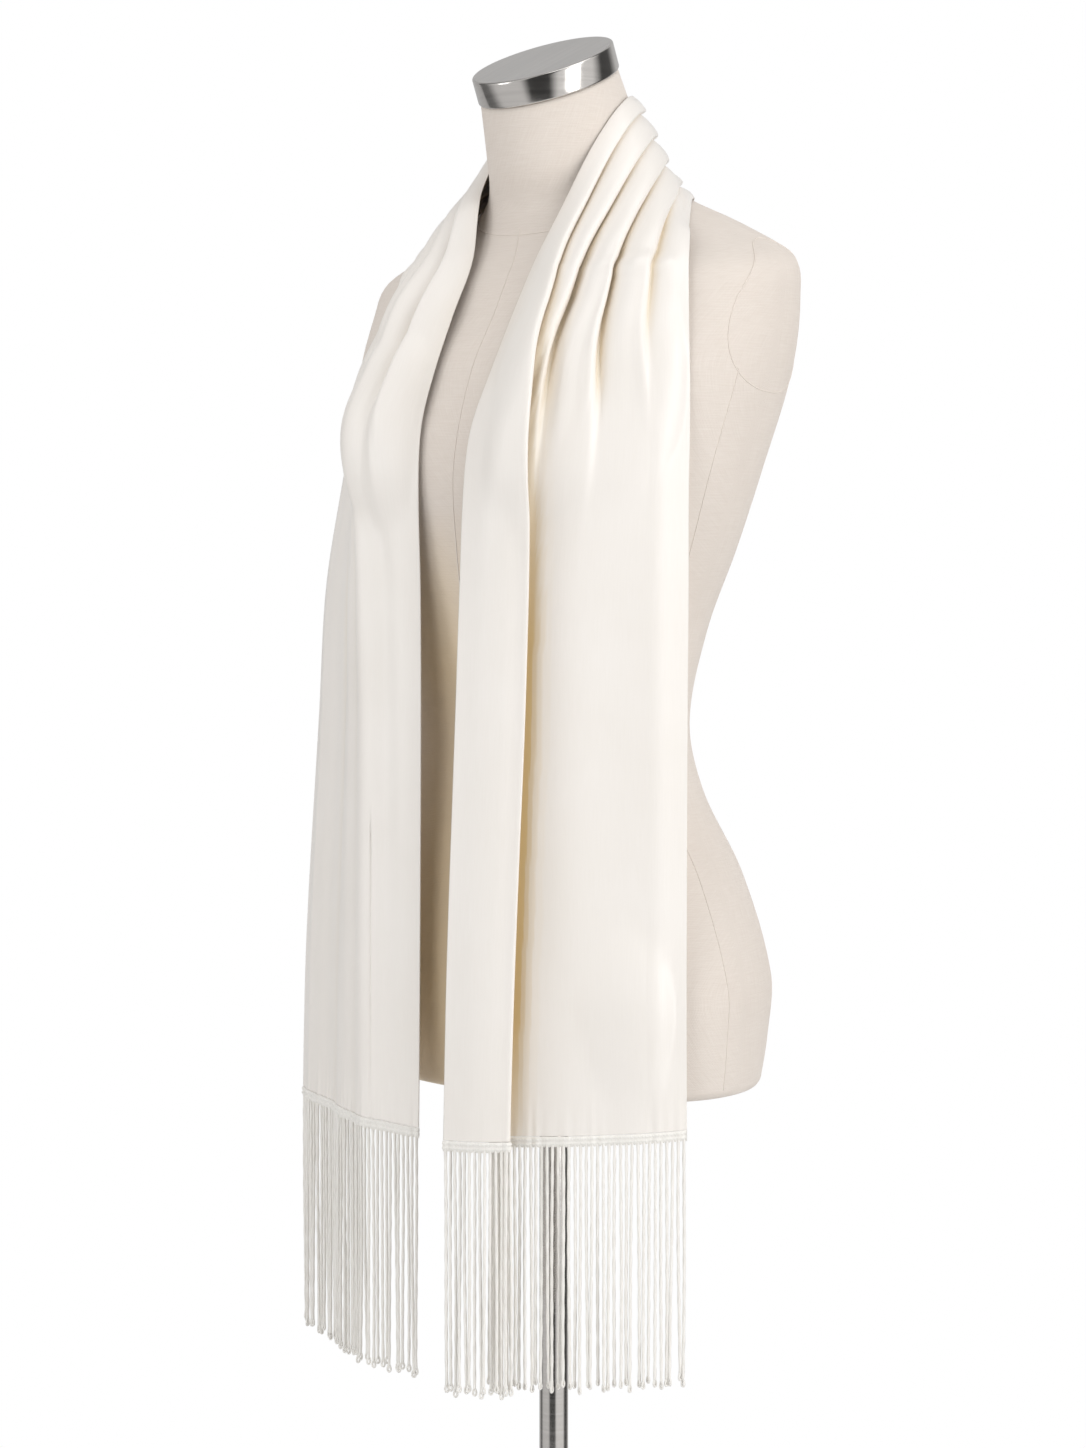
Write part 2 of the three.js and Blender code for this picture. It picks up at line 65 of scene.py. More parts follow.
# Rings of the torso and neck: height above the torso's lower edge, half width, where the ring is widest,
# reach to the front and to the back, degrees of forward tilt, and squareness (2 is an ellipse)
TORSO_RINGS = np.array([
    (0, 166, 8, 100, 118, 0, 2.1),
    (38, 171, 8, 105, 126, 0, 2.1),
    (83, 173, 8, 107, 129, 0, 2.1),
    (158, 150, 6, 103, 113, 0, 2.1),
    (218, 120, 3, 97, 90, 0, 2.1),
    (270, 110, 2, 95, 80, 0, 2.1),
    (338, 124, 4, 103, 88, 0, 2.1),
    (398, 146, 9, 112, 99, 0, 2.15),
    (458, 164, 16, 115, 110, 0, 2.2),
    (528, 181, 28, 96, 121, 1, 2.3),
    (578, 183, 38, 68, 122, 4, 2.35),
    (603, 176, 42, 56, 117, 8, 2.3),
    (622, 136, 39, 47, 103, 13, 2.15),
    (640, 90, 30, 42, 87, 18, 2.05),
    (658, 69, 23, 40, 77, 22, 2),
    (674, 61, 18, 40, 72, 25, 2),
    (698, 55.5, 10, 47, 63, 25, 2),
    (NECK_TOP, 52.5, -6, 54, 42, 24, 2),
])
BUST_REACH, BUST_SIDE, BUST_HEIGHT, BUST_WIDE, BUST_TALL = 9, 76, 463, 46, 62

# Stole
CLOTH_WIDTH = 240
CLOTH_WALL = 0.8
CLOTH_CLEARANCE = 1.6
EDGE_POWER = 6
TURN_SPREAD = 1.8

# Sections of the stole from the left hem, over the neck, to the right hem: the edge by the throat and the
# edge by the shoulder (x, y, height above the torso's lower edge), and the crown between them
STOLE_SECTIONS = np.array([
    (13, -143, -28, 163, -50, -16, 16),
    (15, -141, 98, 163, -51, 98, 17),
    (18, -135, 270, 161, -48, 270, 19),
    (19, -131, 366, 160, -46, 362, 22),
    (21, -128, 448, 160, -46, 442, 25),
    (22, -121, 486, 160, -45, 482, 25),
    (25, -104, 524, 160, -45, 520, 22),
    (26, -78, 570, 156, -41, 560, 16),
    (31, -58, 610, 146, -28, 600, 11),
    (40, -39, 648, 132, -8, 624, 7),
    (50, -21, 687, 120, 7, 632, 4),
    (55, 0, 716, 107, 25, 639, 3),
    (51, 22, 730, 91, 46, 648, 2),
    (36, 48, 735, 55, 84, 648, 2),
    (0, 63, 735, 0, 107, 636, 2),
    (-36, 48, 729, -60, 88, 650, 2),
    (-52, 22, 714, -88, 44, 653, 2),
    (-55, 0, 692, -96, 18, 645, 3),
    (-50, -23, 667, -102, -2, 634, 4),
    (-40, -40, 648, -106, -20, 621, 6),
    (-34, -54, 610, -115, -41, 597, 9),
    (-32, -78, 570, -124, -58, 562, 15),
    (-30, -103, 524, -134, -66, 522, 16),
    (-31, -115, 488, -148, -62, 482, 18),
    (-28, -122, 448, -162, -58, 446, 21),
    (-27, -121, 366, -172, -66, 366, 21),
    (-26, -122, 270, -177, -69, 270, 19),
    (-24, -126, 98, -184, -77, 98, 17),
    (-22, -130, -25, -186, -80, -20, 16),
], float)

# The four long folds: row of the table above, width of a turn, each fold's share of the spare width, and
# where across the cloth each fold turns
STOLE_FOLDS = np.array([
    (0, 6, 0.8, 0, 0, 0, 0.29, 0.47, 0.65, 0.85),
    (3, 4.5, 0.96, 0, 0, 0, 0.31, 0.48, 0.66, 0.86),
    (5, 4, 0.6, 0.07, 0.05, 0, 0.3, 0.46, 0.66, 0.86),
    (7, 3.2, 0.33, 0.2, 0.18, 0.07, 0.22, 0.4, 0.63, 0.84),
    (9, 2.4, 0.13, 0.12, 0.12, 0.08, 0.17, 0.38, 0.6, 0.82),
    (11, 2.1, 0.045, 0.045, 0.045, 0.04, 0.15, 0.37, 0.59, 0.81),
    (17, 2.1, 0.045, 0.045, 0.045, 0.04, 0.15, 0.37, 0.59, 0.81),
    (19, 2.4, 0.08, 0.1, 0.11, 0.08, 0.16, 0.38, 0.61, 0.82),
    (21, 3.2, 0.08, 0.18, 0.18, 0.06, 0.17, 0.41, 0.64, 0.85),
    (23, 5.5, 0.03, 0.15, 0.15, 0, 0.2, 0.42, 0.6, 0.84),
    (25, 10, 0, 0.09, 0.1, 0, 0.18, 0.36, 0.57, 0.84),
    (28, 12, 0, 0.09, 0.1, 0, 0.16, 0.34, 0.58, 0.82),
])

# Rounded rolls between the folds: row of the section table, and the height of each of the five rolls
STOLE_ROLLS = np.array([
    (0, 0, 0, 0, 0, 0),
    (3, 0, 0, 0, 0, 0),
    (4, 0.5, 0.2, 0.2, 0, 0),
    (5, 1.5, 1, 1, 0.5, 0),
    (6, 3, 3.2, 3, 2.5, 1),
    (7, 3.5, 5, 5, 5, 2.5),
    (9, 3.5, 4.5, 4.5, 4.5, 3),
    (11, 1.2, 2.2, 2.6, 2.8, 2),
    (14, 1, 2.2, 2.6, 2.8, 2),
    (17, 1.4, 2.4, 2.6, 2.6, 2),
    (19, 3, 4, 4, 3, 2),
    (21, 3, 4, 4, 3, 2),
    (22, 2.5, 3, 3, 2, 1),
    (23, 2, 2, 2, 1, 1),
    (24, 1, 1, 1, 0.5, 0),
    (25, 0, 0, 0, 0, 0),
    (28, 0, 0, 0, 0, 0),
])

# Soft creases: where across the cloth (share of its width) at the start and end, half width, height (minus
# is a trough), and the rows of the section table between which it shows
CREASES = np.array([
    (0.255, 0.275, 7, 3.2, -1.0, 5.2),
    (0.2, 0.21, 7, -2.6, -1.0, 5.5),
    (0.1, 0.1, 12, 1.6, -1.0, 6.0),
    (0.345, 0.36, 9, -3.2, -1.0, 4.6),
    (0.56, 0.58, 20, -2.0, -1.0, 5.5),
    (0.76, 0.78, 22, -2.2, -1.0, 5.0),
    (0.91, 0.9, 9, 1.4, -1.0, 6.0),
    (0.38, 0.4, 5, -2.0, 4.0, 8.0),
    (0.44, 0.46, 5, -2.6, 4.2, 8.5),
    (0.53, 0.52, 7, 1.6, 4.0, 8.0),
    (0.59, 0.57, 5, -1.8, 4.6, 8.5),
    (0.66, 0.66, 5, -3.0, 4.2, 8.5),
    (0.8, 0.8, 7, -2.0, 4.5, 8.5),
    (0.24, 0.22, 7, -1.6, 19.5, 23.5),
    (0.4, 0.37, 8, -3.0, 20.5, 25.0),
    (0.58, 0.55, 9, -3.0, 20.5, 26.0),
    (0.2, 0.16, 16, -2.4, 22.5, 29.5),
    (0.36, 0.36, 14, 2.0, 22.5, 29.5),
    (0.55, 0.53, 13, -2.6, 22.5, 29.5),
    (0.74, 0.72, 17, -2.0, 22.5, 29.5),
    (0.9, 0.91, 9, 1.4, 22.5, 29.5),
])
HEM_PUCKER_DEPTH = 0.5
HEM_PUCKER_REACH = 16

# Painted shade in the folds: a valley of the cloth is read within these reaches, in strips across; its
# painted shade starts and is full at these depths, and is laid on by these shares at rows of the section
# table
VALLEY_STRIPS = 150
VALLEY_REACHES = (2, 5, 9, 14)
VALLEY_START = 1.5
VALLEY_FULL = 7
VALLEY_ROWS = (0, 0.7, 2.6, 4.2, 28)
VALLEY_PAINTED_SHADE = (0.25, 1, 1, 0.4, 0.4)

# Warm shade on the linen beside the far panel: its reach, and the heights where it starts and is full
SHADE_REACH = 42
SHADE_TOP = 430
SHADE_FULL = 310

# Rows of the grid along the stole between rows of the section table
STATION_RUNS = ((0, 4, 46), (4, 11, 64), (11, 17, 70), (17, 24, 64), (24, 28, 46))
GAP_CELLS = 12
FOLD_CELLS = 23
EDGE_ROWS = (0.7, 2.5, 5)
COURSE_STEPS = 960

# Fringe
SEAM_GAP = 0.3
HEADER_HEIGHT = 7
HEADER_HALF_WALL = 0.55
HEADER_ROLL = 1.35
HEADER_ROLL_WIDTH = 1.1
HEADER_ROLLS = (1.7, 5.0)
STRAND_STEP = 4.2
STRAND_LENGTH = 181
STRAND_RADIUS = 1.25
LENGTH_SPREAD = 3.5
LENGTH_WAVES = (2.4, 1.1)
TWIST_PITCH = 38
TWIST_LOBE = 0.12
STRAND_SIDES = 8
STRAND_ROWS = 110
STRAND_SWAY = 1.1
LOOP_HALF_WIDTH = 1.15
LOOP_HALF_HEIGHT = 2.6
LOOP_WIRE = 0.85

# Camera of the photograph: turned from the form's front, distance, height and lens
CAMERA_TURN = math.radians(39)
CAMERA_DISTANCE = 2.4
CAMERA_HEIGHT = 1.224
CAMERA_LENS = 79.3
CAMERA_AIM = (-0.0064, -0.0052, 1.0575)


def through(keys, values, places):
    """Cubic through rows of a table: in each span a cubic that meets both rows, with each row's slope taken
    from its two neighbours."""
    keys = np.asarray(keys, float)
    values = np.asarray(values, float)
    last = len(keys) - 1
    before = np.maximum(np.arange(last + 1) - 1, 0)
    after = np.minimum(np.arange(last + 1) + 1, last)
    column = (slice(None),) + (None,) * (values.ndim - 1)
    slopes = (values[after] - values[before]) / (keys[after] - keys[before])[column]
    low = np.clip(np.searchsorted(keys, places) - 1, 0, last - 1)
    span = keys[low + 1] - keys[low]
    f = np.clip((places - keys[low]) / span, 0, 1)[column]
    rise = values[low + 1] - values[low]
    start = slopes[low] * span[column]
    end = slopes[low + 1] * span[column]
    return values[low] + f * (start + f * (3 * rise - 2 * start - end + f * (start + end - 2 * rise)))


RING_HEIGHTS = np.linspace(0, NECK_TOP, 1500)
RING_COLUMNS = through(TORSO_RINGS[:, 0], TORSO_RINGS[:, 1:], RING_HEIGHTS)
RING_COLUMNS[:, 4] = np.tan(np.radians(RING_COLUMNS[:, 4]))


def ring_at(height):
    """Half width, widest line, front, back, lean and squareness of the torso's ring at each height."""
    return [np.interp(height, RING_HEIGHTS, RING_COLUMNS[:, i]) for i in range(6)]


def ring_reach(height, x, mid, front, back, to_front):
    """Reach from the widest line: to the back as tabled, to the front with two rounds of the bust, each a
    bell over the sideways place and the height."""
    across = (np.abs(x) - BUST_SIDE) / BUST_WIDE
    up = (height - BUST_HEIGHT) / BUST_TALL
    bust = BUST_REACH * np.exp(-across**2 - up**2)
    return np.where(to_front, front + mid + bust, back - mid)


def torso_point(height, angle, inset=0):
    """Point on the torso: a superellipse ring of that height, at an angle from +X, tilted forward."""
    half, mid, front, back, lean, square = ring_at(height)
    c = np.cos(angle)
    s = np.sin(angle)
    x = (half - inset) * np.sign(c) * np.abs(c) ** (2 / square)
    reach = ring_reach(height, x, mid, front, back, s < 0) - inset
    y = mid + reach * np.sign(s) * np.abs(s) ** (2 / square)
    return np.stack([x, y, TORSO_BOTTOM + height + y * lean], -1)


def torso_share(points):
    """How far out a point is as a share of the torso's reach: its ring's height is found by halving, then
    the superellipse's own sum of powers is taken."""
    x, y, z = points[..., 0], points[..., 1], points[..., 2] - TORSO_BOTTOM
    low = np.zeros_like(x)
    high = np.full_like(x, NECK_TOP + 60)
    for _ in range(22):
        middle = (low + high) / 2
        below = middle + y * np.interp(middle, RING_HEIGHTS, RING_COLUMNS[:, 4]) < z
        low = np.where(below, middle, low)
        high = np.where(below, high, middle)
    half, mid, front, back, _, square = ring_at(low)
    across = np.abs(x) / half
    along = np.abs(y - mid) / ring_reach(low, x, mid, front, back, y < mid)
    return (across**square + along**square) ** (1 / square)


def clear_of_torso(points, clearance):
    """Points moved straight off the torso, by the slope of the share, until they have their clearance."""
    moved = points.copy()
    probe = 0.5
    for _ in range(5):
        share = torso_share(moved)
        slope = np.stack([torso_share(moved + probe * axis) - share for axis in np.eye(3)], -1) / probe
        steep = np.linalg.norm(slope, axis=-1)
        short = np.maximum(clearance - (share - 1) / steep, 0)
        moved += slope / steep[..., None] * short[..., None]
    return moved


def bell(distance, width):
    return np.exp(-((distance / width) ** 2))


# Stations: the length of the stole's middle line at each row of the section table
MIDDLES = (STOLE_SECTIONS[:, 0:3] + STOLE_SECTIONS[:, 3:6]) / 2
STATIONS = np.concatenate([[0], np.cumsum(np.linalg.norm(np.diff(MIDDLES, axis=0), axis=1))])
CLOTH_LENGTH = STATIONS[-1]


def unit(vectors):
    return vectors / np.linalg.norm(vectors, axis=-1, keepdims=True)


def stole_sections(stations):
    """Edges, outward direction, crown and folds of the stole at each station, all by the cubic through the
    tables. A fold's run is its share of half the width that the section has no room for."""
    rows = through(STATIONS, STOLE_SECTIONS, stations)
    inner, outer, bulge = rows[:, 0:3], rows[:, 3:6], rows[:, 6]
    chord = outer - inner
    reach = np.linalg.norm(chord, axis=1)
    ahead = through(STATIONS, MIDDLES, np.minimum(stations + 2, CLOTH_LENGTH))
    behind = through(STATIONS, MIDDLES, np.maximum(stations - 2, 0))
    out = unit(np.cross(chord, ahead - behind))
    room = np.maximum(CLOTH_WIDTH - reach * (1 + 8 / 3 * (bulge / reach) ** 2), 0)
    folds = through(STATIONS[STOLE_FOLDS[:, 0].astype(int)], STOLE_FOLDS[:, 1:], stations)
    turn = folds[:, :1]
    run = np.maximum(folds[:, 1:5], 0) * room[:, None] / 2
    place = folds[:, 5:9] * CLOTH_WIDTH
    return inner, chord, out, bulge, turn, run, place


def course_across(turn, run, place):
    """Course of the cloth across each section. Its angle rises by half a turn at one side of a fold and
    falls by as much at the other, each as a smooth step; the running sums of its cosine and sine are the
    reach and the height. The height is levelled between the cloth's two edges."""
    step = CLOTH_WIDTH / COURSE_STEPS
    across = (np.arange(COURSE_STEPS) + 0.5) * step
    from_fold = across[None, None, :] - place[:, :, None]
    width = turn[:, :, None]
    half = run[:, :, None] / 2
    angle = (np.pi / 2 * (np.tanh((from_fold + half) / width) - np.tanh((from_fold - half) / width))).sum(1)
    start = np.zeros((len(angle), 1))
    reach = np.concatenate([start, np.cumsum(np.cos(angle), 1) * step], 1)
    height = np.concatenate([start, -np.cumsum(np.sin(angle), 1) * step], 1)
    share = reach / reach[:, -1:]
    return share, height - height[:, -1:] * share


def places_across(turn, run, place):
    """Grid lines across the cloth: even between the folds, and close together where a fold turns."""
    half = run / 2 + TURN_SPREAD * turn
    knots = np.stack([place - half, place + half], -1).reshape(len(place), -1)
    ends = np.zeros((len(place), 1))
    edge = ends + EDGE_ROWS[0]
    knots = np.concatenate([ends, edge, knots, ends + CLOTH_WIDTH - edge, ends + CLOTH_WIDTH], 1)
    cells = np.array([1] + [GAP_CELLS, FOLD_CELLS] * 4 + [GAP_CELLS, 1])
    marks = np.concatenate([[0], np.cumsum(cells)])
    index = np.arange(marks[-1] + 1)
    low = np.clip(np.searchsorted(marks, index, side="right") - 1, 0, len(cells) - 1)
    f = (index - marks[low]) / cells[low]
    return knots[:, low] * (1 - f) + knots[:, low + 1] * f


def read_across(table, places):
    """Values of a finely stepped table at given places across the cloth, by straight interpolation."""
    spot = places / CLOTH_WIDTH * COURSE_STEPS
    low = np.clip(spot.astype(int), 0, COURSE_STEPS - 1)
    f = spot - low
    return np.take_along_axis(table, low, 1) * (1 - f) + np.take_along_axis(table, low + 1, 1) * f


def crease_height(places, stations):
    """Soft creases, each a bell across the cloth that swells and dies along its length, and small uneven
    puckers just above each hem."""
    row = np.interp(stations, STATIONS, np.arange(len(STATIONS)))[:, None]
    across = places / CLOTH_WIDTH
    height = np.zeros_like(places)
    for first, last, width, tall, start, end in CREASES:
        f = np.clip((row - start) / (end - start), 0, 1)
        centre = first + (last - first) * f
        height += tall * bell((across - centre) * CLOTH_WIDTH, width) * np.sin(np.pi * f) ** 0.8
    to_hem = np.minimum(stations, CLOTH_LENGTH - stations)[:, None]
    puckers = np.sin(places * 0.62 + 1.7 * np.sin(places * 0.11)) * (0.6 + 0.4 * np.sin(places * 0.27))
    return height + HEM_PUCKER_DEPTH * puckers * bell(to_hem, HEM_PUCKER_REACH)


def roll_height(stations, place):
    """Rounded rolls across each section: between one fold and the next a flat-topped arch, one less a power
    of the distance from the middle, times the roll's tabled height."""
    tall = np.maximum(through(STATIONS[STOLE_ROLLS[:, 0].astype(int)], STOLE_ROLLS[:, 1:], stations), 0)
    across = np.linspace(0, CLOTH_WIDTH, COURSE_STEPS + 1)
    ends = np.zeros((len(place), 1))
    knots = np.concatenate([ends, place, ends + CLOTH_WIDTH], 1)
    spot = (across - knots[:, :-1, None]) / np.diff(knots, axis=1)[:, :, None]
    arch = np.maximum(1 - np.abs(2 * spot - 1) ** 2.4, 0)
    return (tall[:, :, None] * arch * ((spot >= 0) & (spot <= 1))).sum(1)


def painted_fold_shade(share, rise):
    """How deep each place lies below the highest cloth over the strips close to it, from 0 to 1, and then
    squared, so that the painted shade falls only in the depth of a fold."""
    strip = np.clip((share * VALLEY_STRIPS).astype(int), 0, VALLEY_STRIPS - 1)
    top = np.full((len(rise), VALLEY_STRIPS), -1e3)
    np.maximum.at(top, (np.arange(len(rise))[:, None], strip), rise)
    depth = np.zeros_like(rise)
    for reach in VALLEY_REACHES:
        padded = np.pad(top, ((0, 0), (reach, reach)), mode="edge")
        nearby = np.lib.stride_tricks.sliding_window_view(padded, 2 * reach + 1, axis=1).max(2)
        below = np.take_along_axis(nearby, strip, 1) - rise
        depth += np.clip((below - VALLEY_START) / (VALLEY_FULL - VALLEY_START), 0, 1)
    return (depth / len(VALLEY_REACHES)) ** 2


def stole_points(stations, places=None):
    """The stole's middle surface: along a crowned line between the section's two edges, held clear of the
    torso, then out by the height of the folds and creases."""
    inner, chord, out, bulge, turn, run, place = stole_sections(stations)
    share_table, rise_table = course_across(turn, run, place)
    if places is None:
        places = places_across(turn, run, place)
    share = read_across(share_table, places)
    rise = read_across(rise_table, places)
    base = inner[:, None] + chord[:, None] * share[..., None]
    base = base + out[:, None] * (bulge[:, None] * 4 * share * (1 - share))[..., None]
    base[..., 2] += TORSO_BOTTOM
    rolls = roll_height(stations, place)
    # Painted shade: a golden darkening laid into the satin's colour in deep folds, standing in for warm
    # bounced light
    shade_share = np.interp(stations, np.interp(VALLEY_ROWS, np.arange(len(STATIONS)), STATIONS), VALLEY_PAINTED_SHADE)
    painted_shade = read_across(painted_fold_shade(share_table, rise_table + rolls), places) * shade_share[:, None]
    creases = crease_height(places, stations) + read_across(rolls, places)
    lift = 1 - (1 - 2 * share) ** EDGE_POWER
    lowest = np.minimum(rise_table.min(1), 0)[:, None]
    clear = clear_of_torso(base, CLOTH_CLEARANCE - lowest * lift - np.minimum(creases, 0))
    return clear + out[:, None] * (rise + creases)[..., None], places, painted_shade


def grid_faces(rows, columns, loop_rows=False, loop_columns=False):
    """Quads of a grid of points, wrapped round where a direction is a loop."""
    i, j = np.meshgrid(
        np.arange(rows if loop_rows else rows - 1),
        np.arange(columns if loop_columns else columns - 1),
        indexing="ij",
    )
    next_i = (i + 1) % rows
    next_j = (j + 1) % columns
    corners = [i * columns + j, i * columns + next_j, next_i * columns + next_j, next_i * columns + j]
    return np.stack(corners, -1).reshape(-1, 4)


def make_piece(name, points, faces, material, uv=None, replaced=(), painted_shade=None):
    """Smooth mesh from points in millimetres and lists of faces, riding the one body."""
    mesh = bpy.data.meshes.new(name)
    flat = points.reshape(-1, 3)
    mesh.from_pydata(flat * MM, [], [list(face) for part in faces for face in part])
    mesh.polygons.foreach_set("use_smooth", np.ones(len(mesh.polygons), bool))
    if uv is not None:
        corner = np.zeros(len(mesh.loops), np.int32)
        mesh.loops.foreach_get("vertex_index", corner)
        layer = mesh.uv_layers.new(name="cloth")
        layer.data.foreach_set("uv", (uv.reshape(-1, 2) * MM)[corner].astype(np.float32).ravel())
    # Painted shade, per point, that the material mixes into the base colour
    if painted_shade is not None:
        depth = mesh.attributes.new("painted_shade", "FLOAT", "POINT")
        depth.data.foreach_set("value", painted_shade.ravel().astype(np.float32))
    mesh.update()
    piece = bpy.data.objects.new(name, mesh)
    bpy.context.scene.collection.objects.link(piece)
    mesh.materials.append(material)
    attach(piece, "root")
    if replaced:
        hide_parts(*replaced)
    return piece


# Materials


class Nodes:
    """Short way to add and join shader nodes."""

    def __init__(self, name):
        self.material = bpy.data.materials.new(name)
        self.material.use_nodes = True
        self.tree = self.material.node_tree
        self.shader = self.tree.nodes["Principled BSDF"]

    def add(self, kind, **settings):
        node = self.tree.nodes.new(kind)
        for key, value in settings.items():
            setattr(node, key, value)
        return node

    def link(self, out, into):
        self.tree.links.new(out, into)

    def coordinates(self, output, scale):
        source = self.add("ShaderNodeTexCoord")
        mapping = self.add("ShaderNodeMapping")
        mapping.inputs["Scale"].default_value = scale
        self.link(source.outputs[output], mapping.inputs["Vector"])
        return mapping.outputs["Vector"]

    def noise(self, vector, scale, detail):
        node = self.add("ShaderNodeTexNoise")
        node.inputs["Scale"].default_value = scale
        node.inputs["Detail"].default_value = detail
        self.link(vector, node.inputs["Vector"])
        return node.outputs["Fac"]

    def ramp(self, factor, stops):
        node = self.add("ShaderNodeValToRGB")
        for element, (spot, colour) in zip(node.color_ramp.elements, stops):
            element.position = spot
            element.color = (*colour, 1)
        self.link(factor, node.inputs["Fac"])
        return node.outputs["Color"]

    def math(self, operation, first, second):
        node = self.add("ShaderNodeMath", operation=operation)
        for socket, value in zip(node.inputs, (first, second)):
            if isinstance(value, (int, float)):
                socket.default_value = value
            else:
                self.link(value, socket)
        return node.outputs["Value"]

    def wave(self, vector, scale, direction):
        node = self.add("ShaderNodeTexWave", bands_direction=direction)
        node.inputs["Scale"].default_value = scale
        self.link(vector, node.inputs["Vector"])
        return node.outputs["Fac"]

    def with_painted_shade(self, base, colour):
        """Painted shade: base colour turned toward a warm, darker one where the mesh's shade attribute is
        high.
        """
        painted_shade = self.add("ShaderNodeAttribute", attribute_name="painted_shade")
        mix = self.add("ShaderNodeMix", data_type="RGBA")
        first, second = [socket for socket in mix.inputs if socket.type == "RGBA"]
        self.link(painted_shade.outputs["Fac"], mix.inputs["Factor"])
        self.link(base, first)
        second.default_value = (*colour, 1)
        return [socket for socket in mix.outputs if socket.type == "RGBA"][0]

    def bump(self, height, strength, distance):
        node = self.add("ShaderNodeBump")
        node.inputs["Strength"].default_value = strength
        node.inputs["Distance"].default_value = distance
        self.link(height, node.inputs["Height"])
        self.link(node.outputs["Normal"], self.shader.inputs["Normal"])

    def set(self, **sockets):
        for key, value in sockets.items():
            self.shader.inputs[key.replace("_", " ")].default_value = value


def satin_material():
    """Ivory satin: long floats of warp along the cloth with a slight slub, a soft gloss, a sheen, and
    painted golden shade in the depth of its folds.
    """
    n = Nodes("satin")
    cloth = n.coordinates("UV", (1, 1, 1))
    slub = n.noise(n.coordinates("UV", (900, 40, 1)), 1, 3)
    cloudy = n.noise(cloth, 9, 2)
    tone = n.math("ADD", n.math("MULTIPLY", slub, 0.35), n.math("MULTIPLY", cloudy, 0.65))
    pale = n.ramp(tone, [(0.3, (0.87, 0.825, 0.77)), (0.7, (0.915, 0.873, 0.828))])
    # Painted shade: the satin's colour goes toward gold (0.74, 0.58, 0.32) in the depth of its folds
    n.link(n.with_painted_shade(pale, (0.74, 0.58, 0.32)), n.shader.inputs["Base Color"])
    weft = n.wave(cloth, 420, "Y")
    warp = n.wave(cloth, 330, "X")
    n.bump(n.math("ADD", n.math("MULTIPLY", warp, weft), slub), 0.05, 0.0002)
    n.set(Roughness=0.34, Sheen_Weight=0.2, Sheen_Roughness=0.35, Anisotropic=0.3)
    n.set(Specular_IOR_Level=0.55)
    return n.material


def cord_material():
    """Silky fringe cord: fine fibres along the cord and a soft sheen."""
    n = Nodes("fringe_cord")
    fibre = n.noise(n.coordinates("Object", (1500, 1500, 120)), 1, 2)
    silky = n.ramp(fibre, [(0.3, (0.83, 0.80, 0.75)), (0.7, (0.92, 0.90, 0.86))])
    n.link(silky, n.shader.inputs["Base Color"])
    n.bump(fibre, 0.15, 0.0002)
    n.set(Roughness=0.5, Sheen_Weight=0.3, Sheen_Roughness=0.4)
    return n.material


def linen_material():
    """Plain-weave linen: crossing threads with slubs, faint cloudy tone, and a painted warm shadow beside
    the far panel.
    """
    n = Nodes("linen")
    place = n.coordinates("UV", (1, 1, 1))
    warp = n.wave(place, 260, "X")
    weft = n.wave(place, 260, "Y")
    across = n.noise(n.coordinates("UV", (60, 900, 1)), 1, 3)
    along = n.noise(n.coordinates("UV", (900, 60, 1)), 1, 3)
    cloudy = n.noise(n.coordinates("Object", (1, 1, 1)), 7, 3)
    slubs = n.math("ADD", across, along)
    tone = n.math("ADD", n.math("MULTIPLY", slubs, 0.35), n.math("MULTIPLY", cloudy, 0.3))
    plain = n.ramp(tone, [(0.35, (0.735, 0.655, 0.585)), (0.65, (0.805, 0.735, 0.67))])
    # Painted shadow: the linen goes toward (0.80, 0.62, 0.37) where the far panel's shade is marked
    n.link(n.with_painted_shade(plain, (0.80, 0.62, 0.37)), n.shader.inputs["Base Color"])
    n.bump(n.math("ADD", n.math("MAXIMUM", warp, weft), slubs), 0.25, 0.0004)
    n.set(Roughness=0.92, Sheen_Weight=0.15, Sheen_Roughness=0.6, Specular_IOR_Level=0.25)
    return n.material


def steel_material(name, roughness, grain, colour):
    """Steel: metal with fine brush lines that vary its gloss, stretched by grain along the surface."""
    n = Nodes(name)
    lines = n.noise(n.coordinates("Object", grain), 1, 3)
    metal = n.ramp(lines, [(0.35, [0.92 * c for c in colour]), (0.65, colour)])
    n.link(metal, n.shader.inputs["Base Color"])
    n.link(n.math("MULTIPLY_ADD", lines, 0.12), n.shader.inputs["Roughness"])
    n.shader.inputs["Roughness"].links[0].from_node.inputs[2].default_value = roughness
    n.bump(lines, 0.03, 0.0002)
    n.set(Metallic=1)
    return n.material


satin = satin_material()
cord = cord_material()
linen = linen_material()
polished = steel_material("polished_steel", 0.08, (8, 8, 400), (0.60, 0.575, 0.55))
brushed = steel_material("brushed_steel", 0.3, (400, 12, 12), (0.70, 0.68, 0.66))


# Stole


def stole_stations():
    runs = [
        np.linspace(STATIONS[first], STATIONS[last], steps, endpoint=False)
        for first, last, steps in STATION_RUNS
    ]
    close = np.array(EDGE_ROWS)
    return np.sort(np.concatenate(runs + [close, CLOTH_LENGTH - close, [CLOTH_LENGTH]]))


stations = stole_stations()
cloth_points, places, painted_shade = stole_points(stations)
uv = np.stack([places, np.broadcast_to(stations[:, None], places.shape)], -1)
stole = make_piece(
    "stole_cloth", cloth_points, [grid_faces(*places.shape)], satin, uv,
    ("stole_front_left", "stole_neck_back", "stole_front_right"), painted_shade,
)
wall = stole.modifiers.new("wall", "SOLIDIFY")
wall.thickness = CLOTH_WALL * MM
wall.offset = 0


# Fringe


def hem_path(station, step):
    """Hem of the stole as points at even steps along it."""
    fine = np.linspace(0, CLOTH_WIDTH, 1200)[None, :]
    line = stole_points(np.array([station]), fine)[0][0]
    run = np.concatenate([[0], np.cumsum(np.linalg.norm(np.diff(line, axis=0), axis=1))])
    count = int(round(run[-1] / step))
    marks = np.linspace(0, run[-1], count + 1)
    return np.stack([np.interp(marks, run, line[:, axis]) for axis in range(3)], -1), marks


